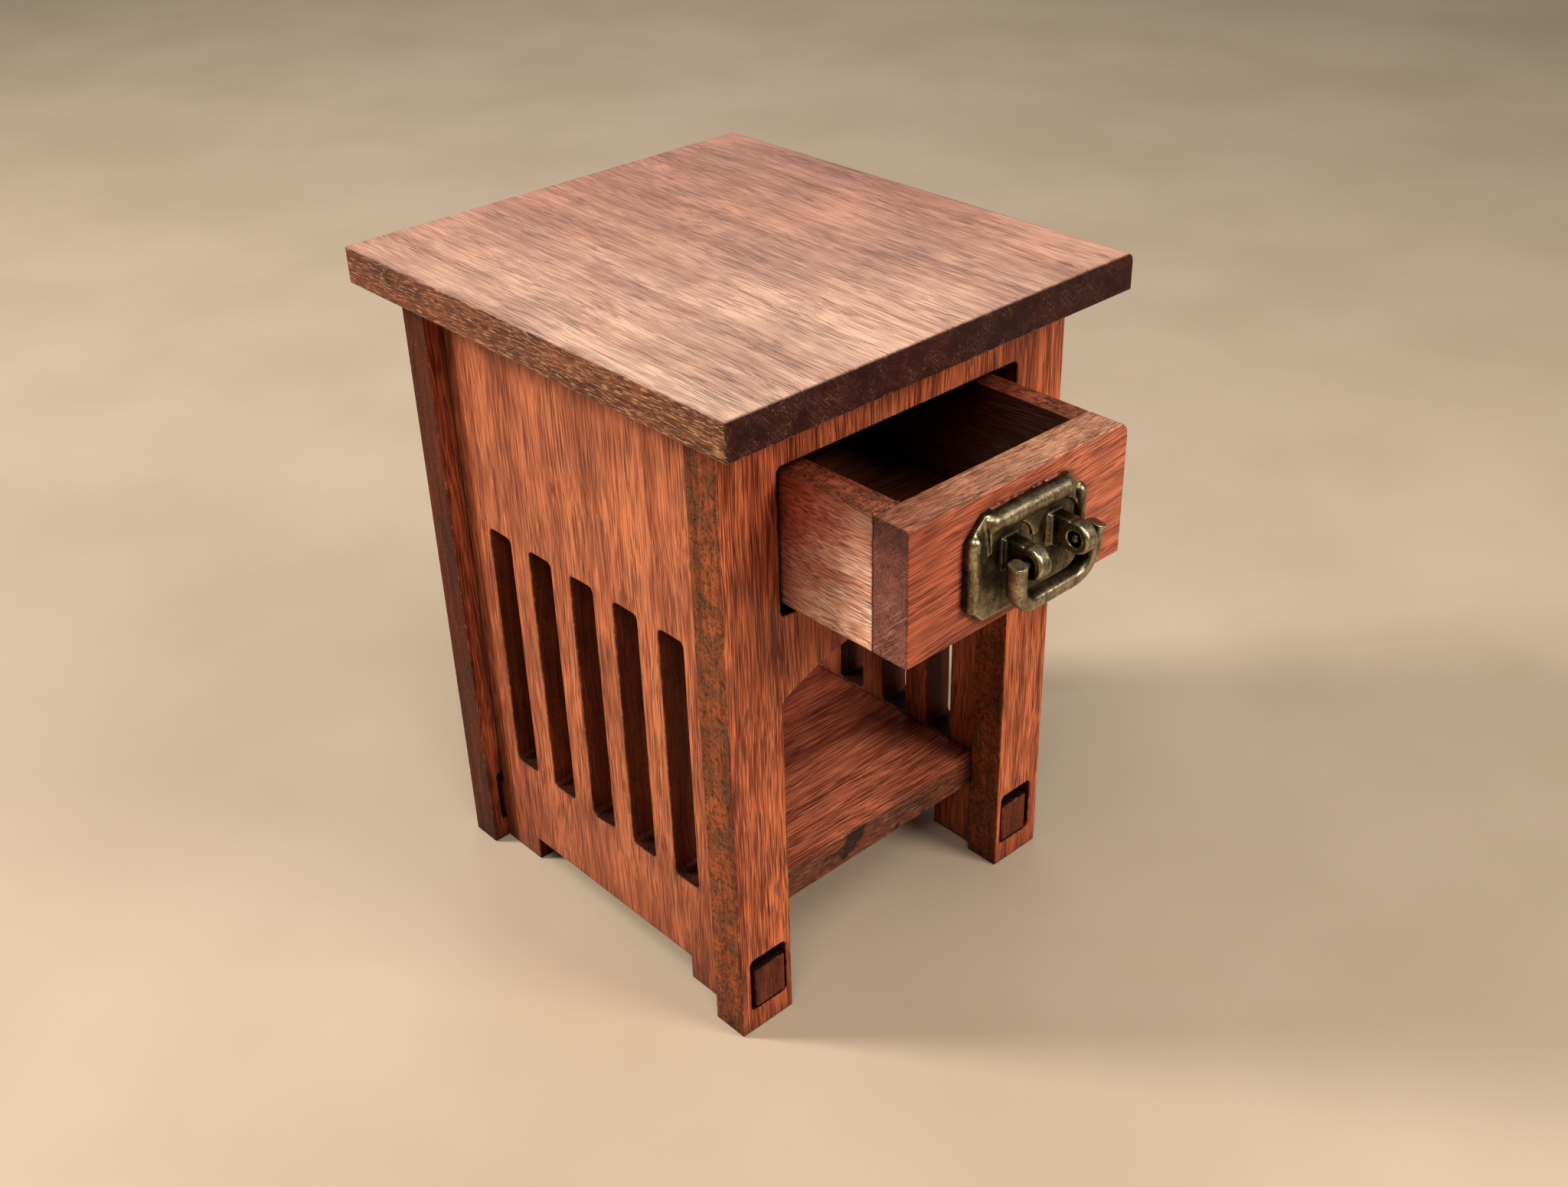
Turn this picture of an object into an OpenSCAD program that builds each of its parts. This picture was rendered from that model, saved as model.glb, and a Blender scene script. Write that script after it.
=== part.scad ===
// Miniature Mission nightstand, 1:12 scale, in millimetres.
// The origin is on the floor under the centre of the top. +Z is up and -Y is the drawer side.

/* [Overall] */
// Height from the floor to the upper face of the top
total_h = 57; // [55:0.5:60]
// Width across the front board
body_w = 35.7; // [34.5:0.1:37]
// Depth of the body from the front face to the rear face
body_d = 37.6; // [36:0.1:40]

/* [Top] */
// Thickness of the top
top_t = 3; // [2.6:0.1:3.4]
// Overhang of the top at each side
top_side_over = 2.45; // [1:0.05:4]
// Overhang of the top over the front board
top_front_over = 4.15; // [3:0.05:5]
// Overhang of the top over the back board
top_back_over = 3.05; // [1:0.05:5]
// Radius of the rounded upper edge at the right side of the top
top_round_r = 0.7; // [0.3:0.05:1]

/* [Front and back boards] */
// Thickness of the front board
front_t = 3.3; // [2.8:0.05:3.6]
// Thickness of the back board
back_t = 3; // [2.6:0.05:3.6]
// Width of each leg
leg_w = 5.4; // [5:0.1:6]
// Height of the crown of the arch above the floor
arch_crown_z = 33.2; // [31:0.1:34]
// Radius of the arch
arch_r = 27; // [20:0.5:40]
// Radius where the arch runs into a leg
arch_fillet = 0.6; // [0.3:0.05:1]

/* [Side panels] */
// Thickness of each side panel
side_t = 3.1; // [2.8:0.05:3.3]
// Step from the edge of a leg in to the side panel
side_inset = 1.55; // [1.2:0.05:1.8]
// Number of slots in each side panel
slot_count = 5; // [3:1:5]
// Width of a slot
slot_w = 2.85; // [2:0.05:3.2]
// Distance from one slot to the next
slot_pitch = 5.45; // [5:0.05:5.6]
// Height of the lower end of the slots
slot_z0 = 10.5; // [10.4:0.1:14]
// Height of the upper end of the slots
slot_z1 = 34.05; // [28:0.05:35]
// Width of the foot at each end of a side panel
foot_w = 4.95; // [4:0.05:6]
// Height of the foot line beside each foot
foot_line_z = 3.6; // [2.5:0.1:4.5]
// Rise of the foot line from the feet to its middle
foot_line_rise = 1.5; // [0.8:0.1:2]

/* [Mortises and tenons] */
// Height of the lower edge of a tenon
tenon_z0 = 2.3; // [1.8:0.1:3]
// Height of a tenon
tenon_h = 3.85; // [3:0.05:4.4]
// Height of a mortise
mortise_h = 5.2; // [4.9:0.05:5.5]
// Width of a mortise
mortise_w = 3.75; // [3.65:0.05:3.9]
// Gap under a tenon and at its inner side, which clears the mortise's round corner
mortise_gap = 0.15; // [0.15:0.05:0.3]

/* [Shelf] */
// Height of the upper face of the shelf
shelf_top_z = 10.4; // [9.5:0.1:10.4]
// Thickness of the shelf
shelf_t = 2.9; // [2.5:0.05:3.2]

/* [Drawer] */
// Width of the drawer opening
opening_w = 24.8; // [24:0.1:25]
// Height of the lower edge of the drawer opening
opening_z0 = 37.5; // [36.5:0.1:38]
// Height of the drawer opening
opening_h = 11.9; // [11.8:0.05:12.4]
// How far the drawer stands open at rest
drawer_open = 12; // [0:0.5:20]
// Width of the drawer
drawer_w = 22.6; // [22:0.1:23]
// Height of the drawer
drawer_h = 10.65; // [10:0.05:10.7]
// Length of the drawer from its face to its rear
drawer_l = 34; // [32:0.1:34.2]
// Sideways place of the drawer in its opening
drawer_shift = -0.8; // [-0.8:0.1:0.8]
// Thickness of the drawer front
drawer_front_t = 3.2; // [2.6:0.05:3.6]
// Thickness of the drawer sides and back
drawer_side_t = 2.6; // [1.8:0.05:3]
// Thickness of the drawer bottom
drawer_bottom_t = 1.6; // [1:0.1:2]
// Radius of the rounded upper edge at the right side of the drawer
drawer_round_r = 1; // [0.3:0.05:1.2]
// Height of the upper face of the board that carries the drawer
support_top_z = 38.4; // [38:0.05:38.5]
// Thickness of the board that carries the drawer
support_t = 3; // [2:0.1:3.1]

/* [Pull] */
// Width of the backplate
plate_w = 12.1; // [11:0.1:13]
// Height of the backplate
plate_h = 8.2; // [8:0.1:8.6]
// Height of the backplate's lower edge above the bottom of the drawer
plate_z0 = 1.1; // [0.8:0.1:1.2]
// Size of the clip across each corner of the backplate
plate_clip = 1.65; // [1.2:0.05:1.8]
// Thickness of the flat of the backplate
plate_t = 0.55; // [0.4:0.05:0.8]
// Radius of the rounded bar along the upper edge
top_bar_r = 0.8; // [0.6:0.05:0.9]
// Radius of the rounded bars along the side edges
side_bar_r = 0.6; // [0.4:0.05:0.7]
// Distance from each end of a side bar to the end of the backplate
side_bar_margin = 1; // [0.8:0.1:1.6]
// Distance of the bars' middle lines from the face of the drawer
bar_y = 0.4; // [0.2:0.05:0.5]
// Sideways place of the bail and its ears on the backplate
ear_shift = 0.5; // [0:0.05:0.5]
// Sideways distance between the middles of the two ears
ear_spacing = 4.85; // [4.4:0.05:5]
// Thickness of an ear
ear_t = 1.2; // [0.9:0.05:1.2]
// Radius of an ear round its hole
ear_r = 1.2; // [1.1:0.05:1.3]
// Distance of the bail's axis from the face of the drawer
pivot_y = 2.7; // [2.6:0.05:3]
// Height of the bail's axis above the bottom of the drawer
pivot_z = 5.7; // [5.5:0.05:5.8]
// Radius of the bail's trunnions
trunnion_r = 0.42; // [0.3:0.01:0.44]
// Radial clearance between a trunnion and its ear
trunnion_gap = 0.06; // [0.03:0.01:0.09]
// Gap between an ear and the bail's arm beside it
arm_gap = 0.35; // [0.2:0.05:0.4]
// Width of the bail's rod, seen from the front
rod_w = 1; // [0.9:0.05:1.1]
// Depth of the bail's rod, from its front to its rear
rod_d = 1.4; // [1.1:0.05:1.5]
// Height of the arms above the bail's axis
arm_tail = 0.45; // [0.44:0.01:0.6]
// Drop from the bail's axis to the middle of its lower bar
bail_drop = 3.25; // [3:0.05:3.4]
// Radius of the bail's bends along the middle of the rod
bend_r = 1.1; // [0.8:0.05:1.4]
// Tilt of the hanging bail towards the backplate in degrees
bail_tilt = 6; // [0:1:8]

/* [Hidden] */

// a round number of segments, which marks every circle as a true one
$fn = 64;
// how far a cutting shape runs past the surface it cuts
over = 1;

top_w = body_w + 2 * top_side_over;
top_d = body_d + top_front_over + top_back_over;
under_top_z = total_h - top_t;
front_y = -top_d / 2 + top_front_over;
back_y = front_y + body_d;
// the side panels, the shelf and the support fill the depth between the front and back boards
inner_y0 = front_y + front_t;
inner_y1 = back_y - back_t;
inner_l = inner_y1 - inner_y0;
inner_mid_y = (inner_y0 + inner_y1) / 2;
side_x1 = body_w / 2 - side_inset;
side_x0 = side_x1 - side_t;
bay_half_w = body_w / 2 - leg_w;
arch_centre_z = arch_crown_z - arch_r;
laser_corner_r = 0.45;

drawer_y0 = front_y - drawer_open;
slide_gap = 0.05;
drawer_z0 = support_top_z + slide_gap;
drawer_inner_w = drawer_w - 2 * drawer_side_t;
peg_r = 0.5;
peg_l = 2.4;
arm_x = ear_spacing / 2 + ear_t / 2 + arm_gap + rod_w / 2;

wood_top = [0.62, 0.36, 0.26];
wood_frame = [0.52, 0.22, 0.13];
wood_side = [0.6, 0.28, 0.15];
wood_shelf = [0.46, 0.2, 0.13];
wood_drawer = [0.63, 0.26, 0.15];
brass = [0.36, 0.31, 0.2];

// a rectangle from its lower corner, with round corners
module round_rect(w, h, r) {
    translate([r, 0]) square([w - 2 * r, h]);
    translate([0, r]) square([w, h - 2 * r]);
    for (x = [r, w - r], y = [r, h - r]) translate([x, y]) circle(r);
}

// what a round corner leaves off a sharp one that points up and to the right, with its tip at 0
module corner_waste(r) {
    translate([-r, -r]) difference() {
        square(r + over);
        circle(r);
    }
}

// an outline drawn in X and Z, as a board that starts at y0
module board_xz(y0, t) {
    translate([0, y0 + t, 0]) rotate([90, 0, 0]) linear_extrude(t) children();
}

// an outline drawn in Y and Z, as a board that starts at x0
module board_yz(x0, t) {
    translate([x0, 0, 0]) rotate([90, 0, 90]) linear_extrude(t) children();
}

// what is left of a sharp corner between a leg and the arch once the cutter's radius is taken out
module arch_corner() {
    fillet_x = bay_half_w - arch_fillet;
    reach = arch_r - arch_fillet;
    fillet_z = arch_centre_z + sqrt(reach * reach - fillet_x * fillet_x);
    corner_z = arch_centre_z + sqrt(arch_r * arch_r - bay_half_w * bay_half_w);
    dir = [fillet_x, fillet_z - arch_centre_z] / reach;
    difference() {
        polygon([
            [fillet_x, fillet_z],
            [bay_half_w + over, fillet_z],
            [bay_half_w + over, corner_z + over],
            [dir[0] * (arch_r + over), arch_centre_z + dir[1] * (arch_r + over)],
        ]);
        translate([fillet_x, fillet_z]) circle(arch_fillet);
    }
}

// the opening under the front and back rails, from below the floor up to the arch
module bay_outline() {
    difference() {
        intersection() {
            translate([-bay_half_w, -over]) square([2 * bay_half_w, arch_crown_z + 2 * over]);
            union() {
                translate([0, arch_centre_z]) circle(arch_r, $fn = 128);
                translate([-bay_half_w, -over]) square([2 * bay_half_w, arch_centre_z + arch_r / 2]);
            }
        }
        arch_corner();
        mirror([1, 0]) arch_corner();
    }
}

// the two mortises for the side panels' tenons
module mortise_outlines() {
    for (s = [0, 1]) mirror([s, 0]) translate([side_x0 - mortise_gap, tenon_z0 - mortise_gap]) {
        round_rect(mortise_w, mortise_h, laser_corner_r);
    }
}

module frame_outline() {
    difference() {
        translate([-body_w / 2, 0]) square([body_w, under_top_z]);
        bay_outline();
        mortise_outlines();
    }
}

module top_panel() {
    color(wood_top) board_xz(-top_d / 2, top_d) difference() {
        translate([-top_w / 2, under_top_z]) square([top_w, top_t]);
        translate([top_w / 2, total_h]) corner_waste(top_round_r);
    }
}

module front_frame() {
    color(wood_frame) board_xz(front_y, front_t) difference() {
        frame_outline();
        translate([-opening_w / 2, opening_z0]) round_rect(opening_w, opening_h, laser_corner_r);
    }
}

module back_frame() {
    color(wood_frame) board_xz(inner_y1, back_t) frame_outline();
}

// the low arch between the feet of a side panel
module foot_line_outline() {
    half = inner_l / 2 - foot_w;
    r = (half * half + foot_line_rise * foot_line_rise) / (2 * foot_line_rise);
    crown_z = foot_line_z + foot_line_rise;
    intersection() {
        translate([inner_mid_y - half, -over]) square([2 * half, crown_z + 2 * over]);
        translate([inner_mid_y, crown_z - r]) circle(r, $fn = 128);
    }
}

module slot_outlines() {
    for (i = [0 : slot_count - 1]) {
        y = inner_mid_y + (i - (slot_count - 1) / 2) * slot_pitch;
        translate([y - slot_w / 2, slot_z0]) round_rect(slot_w, slot_z1 - slot_z0, laser_corner_r);
    }
}

module side_panel(x0) {
    color(wood_side) board_yz(x0, side_t) {
        difference() {
            translate([inner_y0, 0]) square([inner_l, under_top_z]);
            foot_line_outline();
            slot_outlines();
        }
        // one tenon runs through the front board and one through the back board
        translate([front_y, tenon_z0]) square([body_d, tenon_h]);
    }
}

module left_side_panel() {
    side_panel(-side_x1);
}

module right_side_panel() {
    side_panel(side_x0);
}

// a board that fills the space between the side panels
module inner_board(top_z, t) {
    translate([-side_x0, inner_y0, top_z - t]) cube([2 * side_x0, inner_l, t]);
}

module lower_shelf() {
    color(wood_shelf) inner_board(shelf_top_z, shelf_t);
}

module drawer_support() {
    color(wood_shelf) inner_board(support_top_z, support_t);
}

// a place in the drawer: X from its middle, Y back from its face, Z up from its bottom
module in_drawer() {
    color(wood_drawer) translate([drawer_shift, drawer_y0, drawer_z0]) children();
}

module peg_pattern(r, y0, l) {
    for (s = [-1, 1]) {
        translate([ear_shift + s * ear_spacing / 2, y0, pivot_z]) rotate([-90, 0, 0]) {
            cylinder(h = l, r = r);
        }
    }
}

// a board of the drawer from y0 to y1, as high as the drawer, with its lower left corner at x0
module drawer_board(x0, w, y0, y1) {
    board_xz(y0, y1 - y0) difference() {
        translate([x0, 0]) square([w, drawer_h]);
        translate([drawer_w / 2, drawer_h]) corner_waste(drawer_round_r);
    }
}

module drawer_front() {
    in_drawer() difference() {
        drawer_board(-drawer_w / 2, drawer_w, 0, drawer_front_t);
        peg_pattern(peg_r, -over, peg_l + over);
    }
}

module drawer_left_side() {
    in_drawer() drawer_board(-drawer_w / 2, drawer_side_t, drawer_front_t, drawer_l);
}

module drawer_right_side() {
    in_drawer() drawer_board(drawer_w / 2 - drawer_side_t, drawer_side_t, drawer_front_t, drawer_l);
}

module drawer_back() {
    in_drawer() translate([-drawer_inner_w / 2, drawer_l - drawer_side_t, 0]) {
        cube([drawer_inner_w, drawer_side_t, drawer_h]);
    }
}

module drawer_bottom() {
    in_drawer() translate([-drawer_inner_w / 2, drawer_front_t, 0]) {
        cube([drawer_inner_w, drawer_l - drawer_front_t - drawer_side_t, drawer_bottom_t]);
    }
}

// the plate's outline, a rectangle with clipped corners
module plate_outline() {
    w = plate_w / 2;
    polygon([
        [-w + plate_clip, 0],
        [w - plate_clip, 0],
        [w, plate_clip],
        [w, plate_h - plate_clip],
        [w - plate_clip, plate_h],
        [-w + plate_clip, plate_h],
        [-w, plate_h - plate_clip],
        [-w, plate_clip],
    ]);
}

// a rod with round ends, from z = 0 along +Z
module round_rod(r, l) {
    cylinder(h = l, r = r);
    sphere(r);
    translate([0, 0, l]) sphere(r);
}

// the raised bars along the upper edge and the sides, cut off flat at the face of the drawer
module plate_border() {
    top_l = plate_w - 2 * plate_clip - 2 * top_bar_r;
    side_z = side_bar_margin + side_bar_r;
    intersection() {
        union() {
            translate([-top_l / 2, -bar_y, plate_h - top_bar_r]) rotate([0, 90, 0]) {
                round_rod(top_bar_r, top_l);
            }
            for (s = [-1, 1]) translate([s * (plate_w / 2 - side_bar_r), -bar_y, side_z]) {
                round_rod(side_bar_r, plate_h - 2 * side_z);
            }
        }
        translate([-plate_w, -plate_w, 0]) cube([2 * plate_w, plate_w, plate_h]);
    }
}

module ear() {
    difference() {
        union() {
            translate([0, -pivot_y, pivot_z]) rotate([0, 90, 0]) {
                cylinder(h = ear_t, r = ear_r, center = true);
            }
            translate([-ear_t / 2, -pivot_y, pivot_z - ear_r]) cube([ear_t, pivot_y, 2 * ear_r]);
        }
        translate([0, -pivot_y, pivot_z]) rotate([0, 90, 0]) {
            cylinder(h = ear_t + over, r = trunnion_r + trunnion_gap, center = true);
        }
    }
}

module pull_backplate() {
    color(brass) translate([drawer_shift, drawer_y0, drawer_z0]) {
        translate([0, 0, plate_z0]) {
            board_xz(-plate_t, plate_t) plate_outline();
            plate_border();
        }
        for (s = [-1, 1]) translate([ear_shift + s * ear_spacing / 2, 0, 0]) ear();
        // two cast pegs hold the plate in the drawer front
        peg_pattern(peg_r, -plate_t / 2, peg_l + plate_t / 2);
    }
}

// the rod's section: two round edges joined by flats, rod_w wide and rod_d deep
module rod_outline() {
    flat = rod_d - rod_w;
    square([rod_w, flat], center = true);
    for (s = [-1, 1]) translate([0, s * flat / 2]) circle(rod_w / 2);
}

// half of the bail: trunnion, arm, bend and half of the lower bar, about the bail's axis
module bail_half() {
    bend_z = bend_r - bail_drop;
    trunnion_x = ear_spacing / 2 - ear_t / 2;
    translate([arm_x, 0, bend_z]) linear_extrude(arm_tail - bend_z) rod_outline();
    translate([arm_x - bend_r, 0, bend_z]) rotate([90, 0, 0]) {
        rotate([0, 0, -90]) rotate_extrude(angle = 90) translate([bend_r, 0]) rod_outline();
    }
    translate([0, 0, -bail_drop]) rotate([0, 90, 0]) linear_extrude(arm_x - bend_r) rod_outline();
    translate([trunnion_x, 0, 0]) rotate([0, 90, 0]) {
        cylinder(h = arm_x - trunnion_x, r = trunnion_r);
    }
}

module pull_bail() {
    color(brass) translate([drawer_shift + ear_shift, drawer_y0 - pivot_y, drawer_z0 + pivot_z]) {
        rotate([bail_tilt, 0, 0]) {
            bail_half();
            mirror([1, 0, 0]) bail_half();
        }
    }
}

top_panel();
front_frame();
back_frame();
left_side_panel();
right_side_panel();
lower_shelf();
drawer_support();
drawer_front();
drawer_left_side();
drawer_right_side();
drawer_back();
drawer_bottom();
pull_backplate();
pull_bail();
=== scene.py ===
import math

import bmesh
import bpy
from mathutils import Euler, Matrix, Vector


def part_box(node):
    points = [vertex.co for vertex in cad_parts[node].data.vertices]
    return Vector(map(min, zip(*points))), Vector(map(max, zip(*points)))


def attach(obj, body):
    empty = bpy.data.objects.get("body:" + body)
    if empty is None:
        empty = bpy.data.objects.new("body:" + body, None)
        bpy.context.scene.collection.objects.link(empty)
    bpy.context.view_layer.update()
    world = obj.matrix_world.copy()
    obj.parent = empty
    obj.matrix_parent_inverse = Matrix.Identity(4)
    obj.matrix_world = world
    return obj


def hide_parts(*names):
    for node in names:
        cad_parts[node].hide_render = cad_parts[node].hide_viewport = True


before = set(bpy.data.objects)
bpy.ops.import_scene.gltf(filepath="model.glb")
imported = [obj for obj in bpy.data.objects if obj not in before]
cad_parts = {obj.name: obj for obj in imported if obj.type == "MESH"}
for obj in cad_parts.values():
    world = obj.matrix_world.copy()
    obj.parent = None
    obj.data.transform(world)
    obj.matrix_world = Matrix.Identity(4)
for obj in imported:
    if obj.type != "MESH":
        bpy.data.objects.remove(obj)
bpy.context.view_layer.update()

MM = 0.001


# ---------------------------------------------------------------- small helpers


def srgb(red, green, blue):
    """A colour as a painter reads it, 0 to 255 a channel, as the linear colour that shaders take."""

    def linear(value):
        share = value / 255
        return share / 12.92 if share <= 0.04045 else ((share + 0.055) / 1.055) ** 2.4

    return (linear(red), linear(green), linear(blue), 1.0)


class Graph:
    """A material's node tree. Each call adds a node and returns the output that the next one takes."""

    def __init__(self, name):
        self.material = bpy.data.materials.new(name)
        self.material.use_nodes = True
        self.tree = self.material.node_tree
        self.tree.nodes.clear()

    def plug(self, made, values):
        for key, value in values.items():
            if isinstance(value, bpy.types.NodeSocket):
                self.tree.links.new(value, made.inputs[key])
            else:
                made.inputs[key].default_value = value

    def node(self, kind, inputs=None, **settings):
        made = self.tree.nodes.new(kind)
        for key, value in settings.items():
            setattr(made, key, value)
        self.plug(made, inputs or {})
        return made

    def math(self, operation, a, b=0.0):
        return self.node("ShaderNodeMath", {0: a, 1: b}, operation=operation).outputs[0]

    def times(self, a, b):
        return self.math("MULTIPLY", a, b)

    def span(self, value, low, high, to_low=0.0, to_high=1.0):
        """value from low..high becomes to_low..to_high, held at both ends."""
        inputs = {"Value": value, "From Min": low, "From Max": high, "To Min": to_low, "To Max": to_high}
        return self.node("ShaderNodeMapRange", inputs, interpolation_type="SMOOTHSTEP").outputs[0]

    def vector(self, operation, a, b=(0, 0, 0)):
        made = self.node("ShaderNodeVectorMath", {0: a, 1: b}, operation=operation)
        return made.outputs["Value" if operation == "DOT_PRODUCT" else "Vector"]

    def scaled(self, colour, factor):
        inputs = {0: colour, "Scale": factor}
        return self.node("ShaderNodeVectorMath", inputs, operation="SCALE").outputs["Vector"]

    def combine(self, x, y, z):
        return self.node("ShaderNodeCombineXYZ", {0: x, 1: y, 2: z}).outputs[0]

    def split(self, vector):
        return self.node("ShaderNodeSeparateXYZ", {0: vector}).outputs

    def noise(self, vector, scale=1.0, detail=2.0, roughness=0.5, distortion=0.0):
        inputs = {"Vector": vector, "Scale": scale, "Detail": detail}
        inputs |= {"Roughness": roughness, "Distortion": distortion}
        return self.node("ShaderNodeTexNoise", inputs).outputs["Fac"]

    def mix(self, factor, a, b):
        made = self.node("ShaderNodeMix", data_type="RGBA")
        self.plug(made, {0: factor, 6: a, 7: b})
        return made.outputs[2]

    def darken(self, colour, mask, share):
        """colour with share of it taken away where mask is 1."""
        return self.scaled(colour, self.math("SUBTRACT", 1.0, self.times(mask, share)))

    def arris(self, radius, low, high):
        """1 on the sharp edges of the mesh and 0 away from them."""
        soft = self.node("ShaderNodeBevel", {"Radius": radius}, samples=4).outputs[0]
        true = self.node("ShaderNodeNewGeometry").outputs["Normal"]
        return self.span(self.vector("DOT_PRODUCT", soft, true), high, low)

    def openness(self, reach):
        """1 where nothing stands near the surface, and towards 0 in a corner."""
        return self.node("ShaderNodeAmbientOcclusion", {"Distance": reach}, samples=4).outputs["AO"]

    def finish(self, shader):
        self.node("ShaderNodeOutputMaterial", {"Surface": shader})
        return self.material


# ---------------------------------------------------------------- wood

# How a cut through the wood looks: pore is the dark flecks along the fibres, fibre the fine lines,
# fleck the pale torn fibres, scale the rough scaly tears, speck the tiny pale dots, grime the dark
# brown patches, scratch the fine marks across, soot the black smudges, and shine the gloss.
EFFECTS = ("pore", "fibre", "fleck", "scale", "speck", "grime", "scratch", "soot", "shine")
CUTS = {
    "long": (0.85, 1.0, 0.0, 0.0, 0.0, 0.0, 0.0, 0.0, 0.22),
    "sanded": (0.75, 0.45, 0.0, 0.0, 0.0, 0.0, 0.0, 0.0, 0.3),
    "torn": (0.9, 0.8, 1.0, 0.2, 0.0, 0.4, 0.0, 0.0, 0.15),
    "worn": (0.7, 0.9, 0.35, 0.2, 0.0, 0.3, 0.0, 1.0, 0.28),
    "scaly": (0.5, 0.4, 0.1, 1.0, 0.2, 1.0, 0.0, 0.0, 0.08),
    "end": (0.6, 0.7, 0.0, 0.1, 1.0, 0.3, 1.0, 0.0, 0.25),
    "sawn": (0.4, 0.6, 0.0, 0.1, 0.25, 0.2, 0.1, 0.0, 0.14),
    "burnt": (0.5, 0.5, 0.0, 0.4, 0.2, 0.0, 0.0, 0.0, 0.1),
}


def wood(name, grain, faces, seed, slant=0.0, inside=None, painted_falloff=None, gloss=0.5):
    """Stained wood. grain is the axis its fibres follow. faces gives, for the faces that look along
    X, Y and Z, the cut and a dark and a light tone. seed shifts the figure, slant turns the fibres
    by some degrees, inside is the side of the board that looks into a dark box, and the falloff is
    the light and shade painted across the board from one end of it to another."""
    g = Graph(name)
    coordinates = g.node("ShaderNodeTexCoord").outputs
    millimetres = g.vector("MULTIPLY", coordinates["Object"], (1 / MM,) * 3)
    turn = {"X": (0, slant, 0), "Y": (0, 0, slant), "Z": (slant, 0, 0)}[grain]
    mapping = {"Vector": millimetres, "Location": (seed * 17.3, seed * 31.7, seed * 23.9)}
    mapping["Rotation"] = tuple(math.radians(a) for a in turn)
    turned = g.node("ShaderNodeMapping", mapping).outputs[0]
    parts = g.split(turned)
    order = {"X": "XYZ", "Y": "YXZ", "Z": "ZXY"}[grain]
    along, across, deep = (parts["XYZ".index(axis)] for axis in order)
    bend = g.combine(g.times(along, 0.06), g.times(across, 0.12), g.times(deep, 0.12))
    wander = g.times(g.noise(bend, detail=1.0), 1.2)

    def lines(length_scale, width_scale, detail=2.0, roughness=0.5):
        """Noise stretched along the fibres; the scales are in turns a millimetre."""
        wide = g.times(g.math("ADD", across, wander), width_scale)
        thick = g.times(g.math("ADD", deep, wander), width_scale)
        return g.noise(g.combine(g.times(along, length_scale), wide, thick), 1.0, detail, roughness)

    squared = g.vector("MULTIPLY", coordinates["Normal"], coordinates["Normal"])
    shares = g.split(squared)

    def strength(effect):
        row = EFFECTS.index(effect)
        return g.vector("DOT_PRODUCT", squared, tuple(CUTS[faces[axis][0]][row] for axis in "XYZ"))

    blotch = g.noise(turned, 0.13, 3.0, 0.6)
    bands = lines(0.05, 1.0, 3.0, 0.6)
    fibre = lines(0.22, 9.0, 1.0, 0.5)
    pores = lines(0.4, 11.0, 0.0)
    torn = lines(1.0, 11.0, 1.0)
    tears = g.noise(turned, 2.4, 5.0, 0.75, 0.5)
    dots = g.noise(turned, 7.0, 1.0)
    patches = g.noise(turned, 0.5, 4.0, 0.7)
    level, rise = g.math("ADD", across, deep), g.math("SUBTRACT", across, deep)
    scratch = g.noise(g.combine(g.times(along, 5.0), g.times(level, 7.0), g.times(rise, 0.3)), 1.0, 2.0)

    shown = g.times(g.math("SUBTRACT", fibre, 0.5), strength("fibre"))
    broad = g.math("ADD", g.times(bands, 0.45), g.times(blotch, 0.2))
    tone = g.span(g.math("ADD", g.times(shown, 0.7), broad), 0.15, 0.5)
    colour = None
    for share, axis in zip(shares, "XYZ"):
        face = g.scaled(g.mix(tone, srgb(*faces[axis][1]), srgb(*faces[axis][2])), share)
        colour = face if colour is None else g.vector("ADD", colour, face)

    colour = g.scaled(colour, g.span(blotch, 0.35, 0.65, 0.9, 1.08))
    grimy = g.times(g.span(patches, 0.42, 0.6), strength("grime"))
    colour = g.mix(g.times(grimy, 0.75), colour, srgb(*GRIME))
    scaly = g.times(g.span(tears, 0.5, 0.6), strength("scale"))
    colour = g.darken(colour, scaly, 0.6)
    crowd = g.span(lines(0.08, 0.8), 0.35, 0.6, 0.4, 1.0)
    pore = g.times(g.times(g.span(pores, 0.53, 0.62), crowd), strength("pore"))
    colour = g.darken(colour, pore, 0.65)
    fleck = g.times(g.span(torn, 0.53, 0.66), strength("fleck"))
    colour = g.mix(g.times(fleck, 0.6), colour, srgb(*TORN_FIBRE))
    speck = g.times(g.span(dots, 0.6, 0.72), strength("speck"))
    marks = g.times(g.span(scratch, 0.54, 0.68), strength("scratch"))
    scuffed = g.times(g.math("ADD", speck, marks), g.span(patches, 0.4, 0.62, 0.05, 0.65))
    colour = g.mix(scuffed, colour, srgb(*SCUFFED))
    soot = g.times(g.span(g.noise(turned, 0.3, 3.0, 0.6), 0.56, 0.64), strength("soot"))
    colour = g.darken(colour, soot, 0.85)
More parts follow.
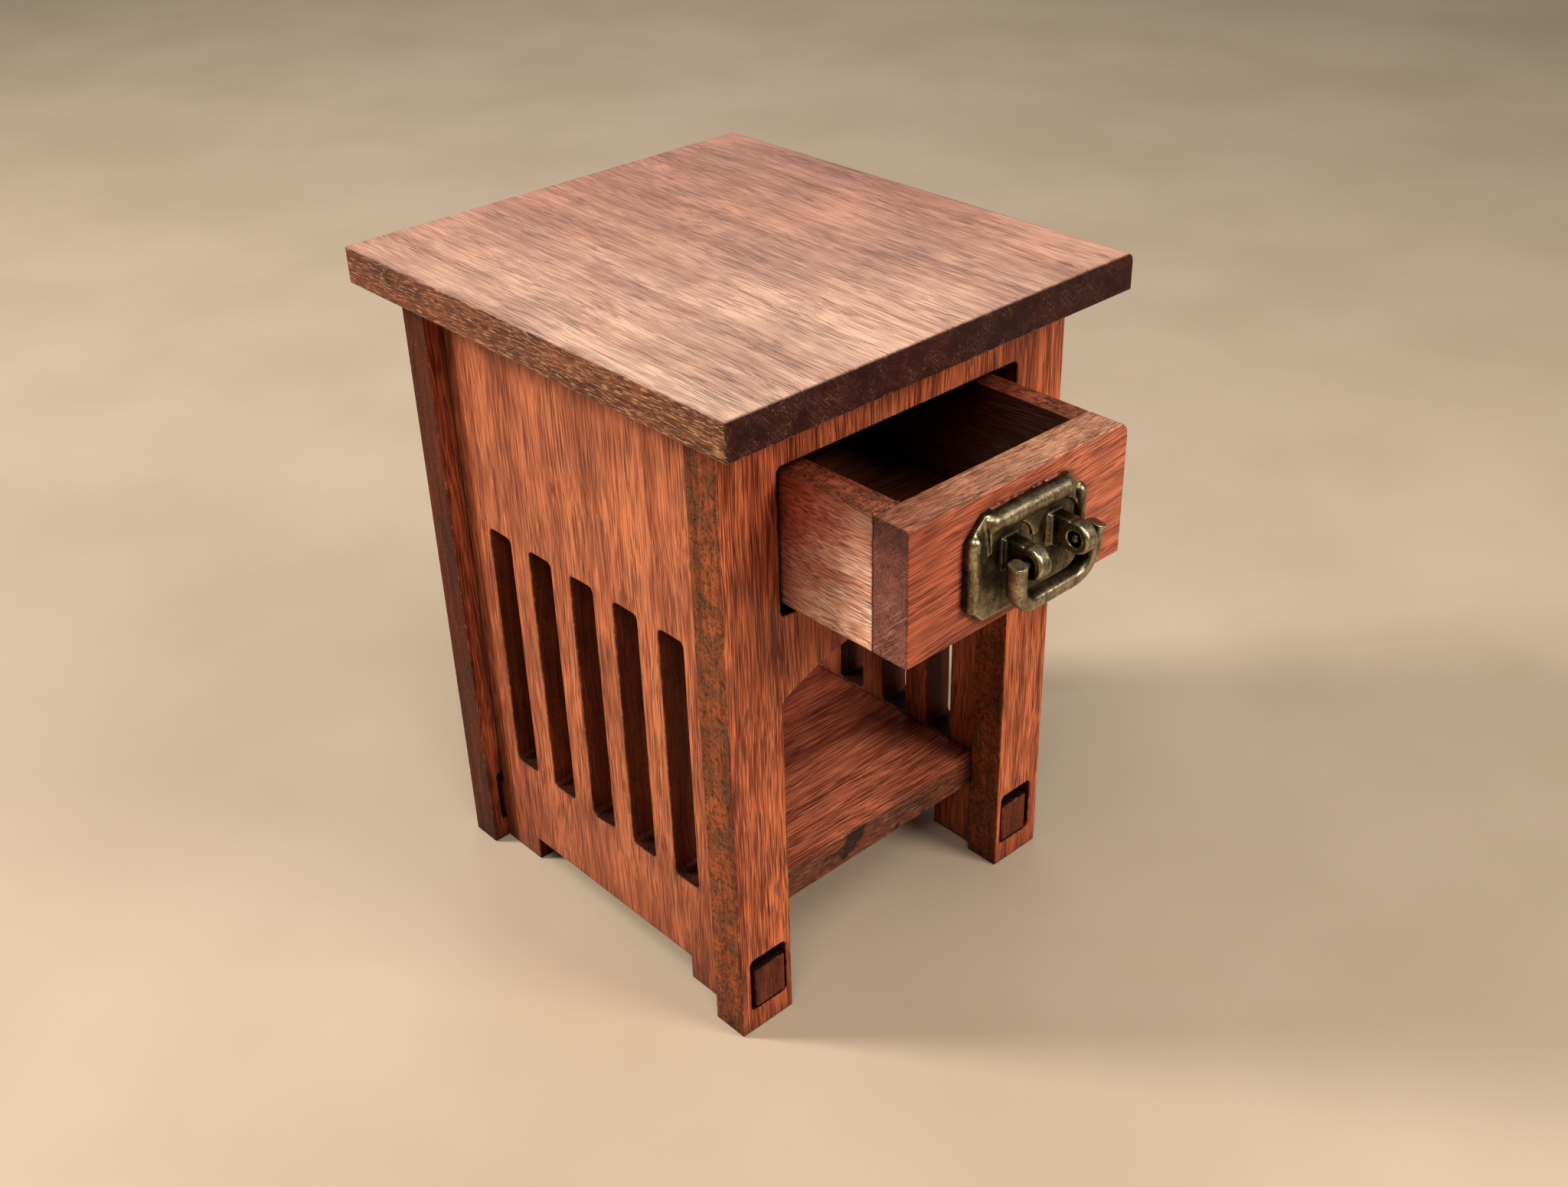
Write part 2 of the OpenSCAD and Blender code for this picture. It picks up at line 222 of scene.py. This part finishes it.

    # the arrises are burnished dark, with a few spots rubbed pale, and a painted shade darkens the corners
    arris = g.arris(0.32 * MM, 0.93, 0.999)
    worn = g.noise(turned, 1.3, 4.0, 0.7)
    colour = g.darken(colour, g.times(arris, g.span(worn, 0.4, 0.6)), 0.55)
    rubbed = g.times(arris, g.span(worn, 0.45, 0.36))
    colour = g.mix(g.times(rubbed, 0.4), colour, srgb(*RUBBED))
    # painted shade: within 1.8 mm of a corner the colour is darkened, down to a quarter in the tightest spots
    colour = g.scaled(colour, g.span(g.openness(1.8 * MM), 0.2, 0.9, 0.25, 1.0))
    # painted shade: where other parts stand within 9 mm, as under the top and in the drawer, the colour is tinted
    # darker and redder
    sheltered = g.span(g.openness(9.0 * MM), 0.3, 0.95, 1.0, 0.0)
    colour = g.vector("MULTIPLY", colour, g.mix(sheltered, (1, 1, 1, 1), SHELTERED_SHADE_TINT))
    # painted light and shade: the colour darkens along the given way, where the light falls off or a shadow lies
    if painted_falloff:
        looks, way, start, end, tint = painted_falloff
        painted_shade_share = g.span(g.vector("DOT_PRODUCT", coordinates["Generated"], way), start, end)
        shown_by = tuple(float(axis in looks) for axis in "XYZ")
        painted_shade_share = g.times(painted_shade_share, g.vector("DOT_PRODUCT", squared, shown_by))
        colour = g.vector("MULTIPLY", colour, g.mix(painted_shade_share, (1, 1, 1, 1), (*tint, 1.0)))
    if inside:
        boxed = g.span(g.vector("DOT_PRODUCT", coordinates["Normal"], inside), 0.5, 0.8)
        colour = g.darken(colour, boxed, 0.8)

    raised = g.math("SUBTRACT", g.times(fibre, 0.5), g.times(pore, 0.7))
    raised = g.math("SUBTRACT", raised, g.times(scaly, 0.9))
    raised = g.math("ADD", raised, g.times(fleck, 0.6))
    bump = {"Strength": 0.6, "Distance": 0.08 * MM, "Height": raised}
    shader = {
        "Base Color": colour,
        "Roughness": g.span(g.math("ADD", fibre, blotch), 0.7, 1.3, gloss - 0.08, gloss + 0.12),
        "Specular IOR Level": strength("shine"),
        "Normal": g.node("ShaderNodeBump", bump).outputs[0],
    }
    return g.finish(g.node("ShaderNodeBsdfPrincipled", shader).outputs[0])


# the tint of the painted shade where other parts stand close over a face
SHELTERED_SHADE_TINT = (0.55, 0.34, 0.27, 1.0)
SCUFFED = (206, 160, 146)
GRIME = (96, 58, 32)
TORN_FIBRE = (206, 152, 104)
RUBBED = (196, 140, 108)

LEG_FACE = ("long", (116, 42, 21), (220, 120, 74))
LEG_EDGE = ("scaly", (98, 43, 21), (178, 91, 47))
# painted shade: the rear legs' edges take much darker tones than the front legs' edges
REAR_EDGE_SHADED = ("burnt", (56, 19, 6), (106, 42, 16))
SIDE_FACE = ("long", (132, 57, 30), (210, 122, 78))
SLOT_WALL = ("burnt", (38, 16, 8), (84, 38, 20))
TENON_END = ("burnt", (78, 34, 18), (142, 71, 41))
HIDDEN = ("end", (70, 30, 16), (120, 58, 34))
# painted sheen: the drawer sides' tones are lightened and paled where the window light falls on them
DRAWER_SIDE = ("long", (204, 130, 98), (255, 212, 180))
DRAWER_EDGE = ("scaly", (128, 62, 43), (188, 108, 78))

# each board: the axis its fibres follow, its slant, and the cut and tones of its three pairs of faces
BOARDS = {
    "top_panel": ("Y", 2.0, {
        "X": ("torn", (72, 33, 16), (142, 79, 44)),
        "Y": ("sawn", (32, 8, 4), (58, 19, 12)),
        # painted sheen: the top's face tones are the stain's colour lightened and paled by a sheen
        "Z": ("sanded", (160, 112, 89), (218, 178, 151)),
    }),
    "front_frame": ("Z", 0.0, {"X": LEG_EDGE, "Y": LEG_FACE, "Z": SLOT_WALL}),
    "back_frame": ("Z", 0.0, {"X": REAR_EDGE_SHADED, "Y": LEG_FACE, "Z": SLOT_WALL}),
    "left_side_panel": ("Z", 0.0, {"X": SIDE_FACE, "Y": TENON_END, "Z": SLOT_WALL}),
    "right_side_panel": ("Z", 0.0, {"X": SIDE_FACE, "Y": TENON_END, "Z": SLOT_WALL}),
    "lower_shelf": ("X", 0.0, {
        "X": HIDDEN,
        "Y": ("worn", (66, 22, 9), (132, 59, 29)),
        "Z": ("long", (126, 50, 29), (226, 128, 88)),
    }),
    "drawer_support": ("X", 0.0, {"X": HIDDEN, "Y": HIDDEN, "Z": HIDDEN}),
    "drawer_front": ("X", 4.0, {
        "X": ("end", (90, 49, 41), (164, 104, 88)),
        "Y": ("long", (156, 72, 46), (212, 120, 84)),
        "Z": ("torn", (162, 100, 74), (238, 172, 138)),
    }),
    "drawer_left_side": ("Y", 5.0, {"X": DRAWER_SIDE, "Y": HIDDEN, "Z": DRAWER_EDGE}),
    "drawer_right_side": ("Y", 3.0, {"X": DRAWER_SIDE, "Y": HIDDEN, "Z": DRAWER_EDGE}),
    "drawer_back": ("X", 0.0, {"X": HIDDEN, "Y": HIDDEN, "Z": DRAWER_EDGE}),
    "drawer_bottom": ("X", 0.0, {"X": HIDDEN, "Y": HIDDEN, "Z": LEG_FACE}),
}
# The light and shade painted across a board: the axes that the faces concerned look along, the way in
# shares of its length on X, Y and Z, where along that way it starts and ends, and how much of the
# red, green and blue is left at the end. The top is left pale by a painted sheen at its front left
# corner and darkens away from it. The side panels darken towards the bottom and the back, the shelf
# towards the back under the rails, the drawer's face towards the left, and the drawer's sides towards
# the back and the top: these are painted shadows.
PAINTED_LIGHT_FALLOFF = {
    "top_panel": ("XYZ", (1, 1, 0), 0.0, 1.6, (0.68, 0.5, 0.46)),
    "left_side_panel": ("XYZ", (0, 0.3, -0.7), -0.5, 0.3, (0.8, 0.74, 0.72)),
    "right_side_panel": ("XYZ", (0, 0.3, -0.7), -0.5, 0.3, (0.8, 0.74, 0.72)),
    "lower_shelf": ("Z", (0, 1, 0), 0.1, 0.7, (0.5, 0.36, 0.34)),
    "drawer_front": ("XYZ", (-1, 0, 0), -0.5, 0.0, (0.66, 0.54, 0.5)),
    "drawer_left_side": ("X", (0, 1, 0.3), 0.1, 0.52, (0.5, 0.17, 0.12)),
    "drawer_right_side": ("X", (0, 1, 0.3), 0.1, 0.52, (0.5, 0.17, 0.12)),
}
INSIDE = {
    "drawer_front": (0, 1, 0),
    "drawer_back": (0, -1, 0),
    "drawer_left_side": (1, 0, 0),
    "drawer_right_side": (-1, 0, 0),
    "drawer_bottom": (0, 0, 1),
}


def ease_edges(board, width):
    """Rounds a board's arrises, as sanding leaves them. The CAD mesh itself stays as it is."""
    board.modifiers.new("weld", "WELD").merge_threshold = 0.001 * MM
    planar = board.modifiers.new("planar", "DECIMATE")
    planar.decimate_type = "DISSOLVE"
    planar.angle_limit = math.radians(0.5)
    bevel = board.modifiers.new("arris", "BEVEL")
    bevel.width = width
    bevel.segments = 3
    bevel.use_clamp_overlap = False
    bevel.limit_method = "ANGLE"
    bevel.angle_limit = math.radians(40)
    board.modifiers.new("normals", "WEIGHTED_NORMAL").keep_sharp = False


def finish_boards():
    for seed, (node, (grain, slant, faces)) in enumerate(BOARDS.items()):
        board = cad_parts[node]
        inside, painted_falloff = INSIDE.get(node), PAINTED_LIGHT_FALLOFF.get(node)
        material = wood(f"{node}_wood", grain, faces, seed + 1, slant, inside, painted_falloff)
        for place in board.material_slots:
            place.material = material
        ease_edges(board, 0.15 * MM)


# ---------------------------------------------------------------- the cast pull

# All of the pull is modelled in millimetres from the middle of the lower edge of the drawer's
# face: X across, Y in towards the drawer, Z up.
EAR_X = 0.5
EAR_SPACING = 4.85
EAR_HALF_T = 0.6
EAR_R = 1.2
PIVOT = Vector((EAR_X, -2.7, 5.7))
HOLE_R = 0.5
PLATE_HALF_W = 6.05
PLATE_LOW, PLATE_HIGH = 1.1, 9.3
PLATE_T = 0.55
CLIP = 1.65


def pull_origin():
    low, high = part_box("drawer_front")
    return Vector(((low.x + high.x) / 2, low.y, low.z))


def capsule(built, start, end, radius):
    """A rod with round ends between two points."""
    start, end = Vector(start), Vector(end)
    way = end - start
    turn = way.to_track_quat("Z", "Y").to_matrix().to_4x4()
    place = Matrix.Translation((start + end) / 2) @ turn
    bmesh.ops.create_cone(built, cap_ends=True, segments=32, radius1=radius, radius2=radius,
                          depth=way.length, matrix=place)
    for middle in (start, end):
        bmesh.ops.create_uvsphere(built, u_segments=32, v_segments=16, radius=radius,
                                  matrix=Matrix.Translation(middle))


def slab(built, outline, back, front):
    """A closed prism over an outline of X and Z, from one depth to another."""
    rings = [[built.verts.new((x, -depth, z)) for x, z in outline] for depth in (back, front)]
    built.faces.new(rings[0])
    built.faces.new(list(reversed(rings[1])))
    for i in range(len(outline)):
        j = (i + 1) % len(outline)
        built.faces.new((rings[0][j], rings[0][i], rings[1][i], rings[1][j]))


def tube(built, rings, capped):
    """Joins rings of points into one skin. It is closed by caps, or else end to end."""
    made = [[built.verts.new(point) for point in ring] for ring in rings]
    pairs = list(zip(made, made[1:])) + ([] if capped else [(made[-1], made[0])])
    for a, b in pairs:
        for i in range(len(a)):
            j = (i + 1) % len(a)
            built.faces.new((a[i], a[j], b[j], b[i]))
    if capped:
        built.faces.new(list(reversed(made[0])))
        built.faces.new(made[-1])


def turned_on_x(built, middle, profile):
    """A closed profile of (distance along X, radius) turned about an axis along X."""
    steps = 48
    rings = []
    for i in range(steps):
        angle = math.tau * i / steps
        rings.append([
            middle + Vector((along, radius * math.cos(angle), radius * math.sin(angle)))
            for along, radius in profile
        ])
    tube(built, rings, capped=False)


def melted(name, built, voxel, material, origin, body):
    """Melts overlapping shapes into one skin with soft edges, and puts it on its body."""
    bmesh.ops.recalc_face_normals(built, faces=built.faces)
    rough = bpy.data.meshes.new(name + "_rough")
    built.to_mesh(rough)
    built.free()
    piece = bpy.data.objects.new(name, rough)
    bpy.context.scene.collection.objects.link(piece)
    melt = piece.modifiers.new("melt", "REMESH")
    melt.mode = "VOXEL"
    melt.voxel_size = voxel
    soft = piece.modifiers.new("soft", "SMOOTH")
    soft.factor = 0.5
    soft.iterations = 7
    lumps = bpy.data.textures.new(name + "_lumps", "CLOUDS")
    lumps.noise_scale = 1.1
    uneven = piece.modifiers.new("uneven", "DISPLACE")
    uneven.texture = lumps
    uneven.texture_coords = "LOCAL"
    uneven.strength = 0.05
    graph = bpy.context.evaluated_depsgraph_get()
    mesh = bpy.data.meshes.new_from_object(piece.evaluated_get(graph))
    piece.modifiers.clear()
    piece.data = mesh
    mesh.transform(Matrix.Translation(origin) @ Matrix.Scale(MM, 4))
    mesh.shade_smooth()
    mesh.materials.clear()
    mesh.materials.append(material)
    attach(piece, body)
    return piece


def cast(name, built, voxel, material, body, node):
    """A melted piece of the pull, which stands for the pull's CAD node."""
    piece = melted(name, built, voxel, material, pull_origin(), body)
    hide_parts(node)


def clipped_outline(margin=0.0):
    w, low, high, clip = PLATE_HALF_W - margin, PLATE_LOW + margin, PLATE_HIGH - margin, CLIP
    right = [(w - clip, low), (w, low + clip), (w, high - clip), (w - clip, high)]
    return right + [(-x, z) for x, z in reversed(right)]


def apron_outline():
    """The raised flange under the upper bar, with an arch over each ear and a drop between them."""
    half_w = PLATE_HALF_W - CLIP
    outline = [(half_w, PLATE_HIGH - 0.3), (-half_w, PLATE_HIGH - 0.3)]
    for side in (-1, 1):
        middle = EAR_X + side * EAR_SPACING / 2
        for i in range(13):
            angle = math.pi * (1 - i / 12)
            outline.append((middle + 2.1 * math.cos(angle), 6.1 + 1.75 * math.sin(angle)))
    return outline


def backplate(material):
    built = bmesh.new()
    slab(built, clipped_outline(), 0.0, PLATE_T)
    slab(built, apron_outline(), 0.0, PLATE_T + 0.3)
    bar = PLATE_HALF_W - CLIP - 0.7
    capsule(built, (-bar, -0.45, PLATE_HIGH - 0.78), (bar, -0.45, PLATE_HIGH - 0.78), 0.8)
    for side in (-1, 1):
        x = side * (PLATE_HALF_W - 0.6)
        capsule(built, (x, -0.42, PLATE_LOW + 1.6), (x, -0.42, PLATE_HIGH - 1.75), 0.6)
    lip = [(-0.6, 0.6), (-0.68, 0.68), (-0.6, 0.8), (-0.6, 1.08), (-0.45, 1.22)]
    profile = lip + [(-along, radius) for along, radius in reversed(lip)]
    for side in (-1, 1):
        middle = PIVOT + Vector((side * EAR_SPACING / 2, 0, 0))
        turned_on_x(built, middle, profile)
        low, high = middle.z - EAR_R, middle.z + EAR_R
        sides = (middle.x - EAR_HALF_T, middle.x + EAR_HALF_T)
        block = [(sides[0], low), (sides[1], low), (sides[1], high), (sides[0], high)]
        slab(built, block, 0.0, 2.15)
        root = [(x + 0.25 * (1 if x > middle.x else -1), z * 1.0) for x, z in block]
        slab(built, root, 0.0, PLATE_T + 0.2)
    cast("pull_backplate_cast", built, 0.075, material, "drawer", "pull_backplate")


def bail(material):
    """The rod runs down one arm, along the lower bar and up the other arm."""
    arm_x, drop, bend_r = 3.875, 3.3, 1.9
    path = [(-arm_x - 0.2, 0.45), (-arm_x - 0.08, -0.4), (-arm_x, -drop + bend_r)]
    for i in range(1, 9):
        angle = math.pi / 2 * i / 8
        x = -arm_x + bend_r * (1 - math.cos(angle))
        path.append((x, -drop + bend_r * (1 - math.sin(angle))))
    path.append((0.0, -drop))
    mirrored = [(-x, z) for x, z in reversed(path[:-1])]
    mirrored[-1] = (arm_x + 0.3, 0.5)
    path += mirrored
    rings = []
    for i, (x, z) in enumerate(path):
        before, after = path[max(i - 1, 0)], path[min(i + 1, len(path) - 1)]
        way = Vector((after[0] - before[0], 0, after[1] - before[1])).normalized()
        side = Vector((way.z, 0, -way.x))
        upright = abs(way.z)
        half_w = 0.6 - 0.04 * upright
        half_d = 0.68 + 0.04 * upright
        ring = []
        for k in range(24):
            angle = math.tau * k / 24
            c, s = math.cos(angle), math.sin(angle)
            reach = (abs(c) ** 3 + abs(s) ** 3) ** (-1 / 3)
            ring.append(Vector((x, 0, z)) + side * c * reach * half_w + Vector((0, s * reach * half_d, 0)))
        rings.append(ring)
    built = bmesh.new()
    tube(built, rings, capped=True)
    for side in (-1, 1):
        inner = EAR_SPACING / 2 - EAR_HALF_T + 0.3
        capsule(built, (side * arm_x, 0, 0), (side * inner, 0, 0), 0.38)
    tilt = Matrix.Translation(PIVOT) @ Matrix.Rotation(math.radians(6), 4, "X")
    bmesh.ops.transform(built, matrix=tilt, verts=built.verts)
    cast("pull_bail_cast", built, 0.065, material, "bail", "pull_bail")


def antique_brass():
    """Brass with a dark patina in the hollows, rubbed bright on its ridges."""
    g = Graph("antique_brass_cast")
    place = g.vector("MULTIPLY", g.node("ShaderNodeTexCoord").outputs["Object"], (1 / MM,) * 3)
    grain = g.noise(place, 5.0, 4.0, 0.7)
    cloud = g.noise(place, 0.8, 3.0, 0.6)
    streak = g.noise(g.vector("MULTIPLY", place, (6.0, 6.0, 0.5)), 1.0, 3.0, 0.6)
    ridge = g.arris(0.4 * MM, 0.86, 0.995)
    open_sky = g.openness(2.2 * MM)
    bare = g.math("ADD", g.times(ridge, 0.5), g.span(open_sky, 0.5, 1.0, 0.0, 0.7))
    bare = g.math("ADD", bare, g.span(cloud, 0.3, 0.7, -0.12, 0.12))
    bare = g.math("ADD", bare, g.span(grain, 0.3, 0.7, -0.08, 0.08))
    colour = g.mix(g.span(bare, 0.15, 0.65), srgb(26, 20, 13), srgb(119, 103, 77))
    colour = g.mix(g.span(bare, 0.55, 1.0), colour, srgb(212, 197, 160))
    colour = g.darken(colour, g.span(streak, 0.55, 0.63), 0.5)
    relief = g.math("ADD", g.times(grain, 0.5), g.times(cloud, 0.6))
    shader = {
        "Base Color": colour,
        "Metallic": 1.0,
        "Roughness": g.span(bare, 0.0, 1.0, 0.55, 0.3),
        "Normal": g.node("ShaderNodeBump", {"Strength": 0.4, "Distance": 0.06 * MM, "Height": relief}).outputs[0],
    }
    return g.finish(g.node("ShaderNodeBsdfPrincipled", shader).outputs[0])


# ---------------------------------------------------------------- glue, and painted shade in the mortises

MORTISE_GAP_X = 16.55
MORTISE_LOW, MORTISE_HIGH = 2.5, 7.0


def dried_glue_and_shade():
    g = Graph("dried_glue_and_shade")
    place = g.vector("MULTIPLY", g.node("ShaderNodeTexCoord").outputs["Object"], (1 / MM,) * 3)
    cloud = g.noise(place, 3.0, 3.0, 0.6)
    shader = {
        "Base Color": g.mix(g.span(cloud, 0.35, 0.65), srgb(70, 26, 14), srgb(138, 76, 54)),
        "Roughness": g.span(cloud, 0.3, 0.7, 0.12, 0.3),
        "Normal": g.node("ShaderNodeBump", {"Strength": 0.3, "Distance": 0.05 * MM, "Height": cloud}).outputs[0],
    }
    return g.finish(g.node("ShaderNodeBsdfPrincipled", shader).outputs[0])


def glue_and_shade_in_mortises(material):
    """Dark beads that close the slit outside each tenon, halfway through the board: partly the glue in the joint,
    partly painted shade that fills the slit with black.
    """
    for node, name in (("front_frame", "mortise_glue_and_shade_front"), ("back_frame", "mortise_glue_and_shade_rear")):
        low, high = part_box(node)
        built = bmesh.new()
        for side in (-1, 1):
            for across in (-0.12, 0.12):
                x = side * MORTISE_GAP_X + across
                capsule(built, (x, 0, MORTISE_LOW), (x, 0, MORTISE_HIGH), 0.34)
        melted(name, built, 0.075, material, Vector((0, (low.y + high.y) / 2, 0)), "carcass")


def glue_on_drawer(material):
    """What was squeezed out along the top of the backplate, and on the joint of the drawer's left side."""
    built = bmesh.new()
    top = PLATE_HIGH - 0.02
    beads = ((-3.4, -1.9, 0.22), (-2.1, -0.2, 0.14), (0.9, 1.6, 0.17), (2.2, 3.6, 0.2))
    for start, end, radius in beads:
        capsule(built, (start, -0.02, top), (end, -0.02, top + 0.05), radius)
    melted("plate_glue", built, 0.05, material, pull_origin(), "drawer")

    low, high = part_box("drawer_front")
    side_low, side_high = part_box("drawer_left_side")
    built = bmesh.new()
    thick = (side_high.x - side_low.x) / MM
    for start, end, radius in ((0.15, 0.9, 0.13), (0.8, 1.5, 0.1), (1.7, thick - 0.1, 0.12)):
        capsule(built, (start, 0, 0), (end, 0.05, 0), radius)
    melted("joint_glue", built, 0.05, material, Vector((side_low.x, high.y, side_high.z)), "drawer")


# ---------------------------------------------------------------- floor, light and camera


def floor():
    mesh = bpy.data.meshes.new("floor")
    built = bmesh.new()
    bmesh.ops.create_circle(built, cap_ends=True, segments=96, radius=3.0)
    built.to_mesh(mesh)
    built.free()
    plane = bpy.data.objects.new("floor", mesh)
    bpy.context.scene.collection.objects.link(plane)
    g = Graph("pale_floor")
    cloud = g.noise(g.node("ShaderNodeTexCoord").outputs["Object"], 30.0, 3.0)
    colour = g.mix(g.span(cloud, 0.3, 0.7), srgb(176, 156, 130), srgb(184, 164, 139))
    pale = g.node("ShaderNodeBsdfPrincipled", {"Base Color": colour, "Roughness": 0.6}).outputs[0]
    clear = g.node("ShaderNodeBsdfTransparent").outputs[0]
    from_below = g.node("ShaderNodeNewGeometry").outputs["Backfacing"]
    mesh.materials.append(g.finish(g.node("ShaderNodeMixShader", {0: from_below, 1: pale, 2: clear}).outputs[0]))


def softbox(name, place, target, size, watts, colour=(1, 1, 1)):
    light = bpy.data.lights.new(name, "AREA")
    light.shape = "DISK"
    light.size = size
    light.energy = watts
    light.color = colour
    lamp = bpy.data.objects.new(name, light)
    lamp.location = place
    lamp.rotation_euler = (Vector(target) - Vector(place)).to_track_quat("-Z", "Y").to_euler()
    bpy.context.scene.collection.objects.link(lamp)


def studio_light():
    world = bpy.data.worlds.new("studio")
    bpy.context.scene.world = world
    world.use_nodes = True
    tree = world.node_tree
    background = tree.nodes["Background"]
    way = tree.nodes.new("ShaderNodeTexCoord")
    parts = tree.nodes.new("ShaderNodeSeparateXYZ")
    tree.links.new(way.outputs["Generated"], parts.inputs[0])
    rise = tree.nodes.new("ShaderNodeMapRange")
    for key, value in {"From Min": -0.2, "From Max": 1.0, "To Min": 0.07, "To Max": 0.21}.items():
        rise.inputs[key].default_value = value
    tree.links.new(parts.outputs["Z"], rise.inputs["Value"])
    tree.links.new(rise.outputs[0], background.inputs["Strength"])
    background.inputs["Color"].default_value = (1.0, 0.97, 0.93, 1.0)
    middle = (0, 0, 0.03)
    softbox("window_left", (-0.24, 0.24, 0.26), middle, 0.09, 1.95, (1.0, 0.97, 0.93))
    softbox("overhead", (-0.12, -0.14, 0.32), middle, 0.18, 0.6, (1.0, 0.98, 0.95))
    softbox("front_fill", (0.09, -0.26, 0.2), middle, 0.12, 0.75, (1.0, 0.96, 0.92))
    softbox("rear_sheen", (0.22, 0.27, 0.24), middle, 0.3, 0.2, (0.98, 0.99, 1.0))


def photo_camera():
    data = bpy.data.cameras.new("camera")
    data.sensor_width = 36.0
    data.lens = 40.61
    data.clip_start = 0.005
    data.clip_end = 20
    camera = bpy.data.objects.new("camera", data)
    bpy.context.scene.collection.objects.link(camera)
    azimuth, elevation, roll = (math.radians(a) for a in (41.92, 31.36, 1.72))
    forward = Vector((
        math.sin(azimuth) * math.cos(elevation),
        math.cos(azimuth) * math.cos(elevation),
        -math.sin(elevation),
    ))
    camera.rotation_mode = "QUATERNION"
    camera.rotation_quaternion = forward.to_track_quat("-Z", "Y") @ Euler((0, 0, -roll)).to_quaternion()
    camera.location = Vector((-83.47, -97.76, 104.51)) * MM
    bpy.context.scene.camera = camera


finish_boards()
brass = antique_brass()
backplate(brass)
bail(brass)
glue = dried_glue_and_shade()
glue_and_shade_in_mortises(glue)
glue_on_drawer(glue)
floor()
studio_light()
photo_camera()
bpy.context.scene.view_settings.view_transform = "Standard"
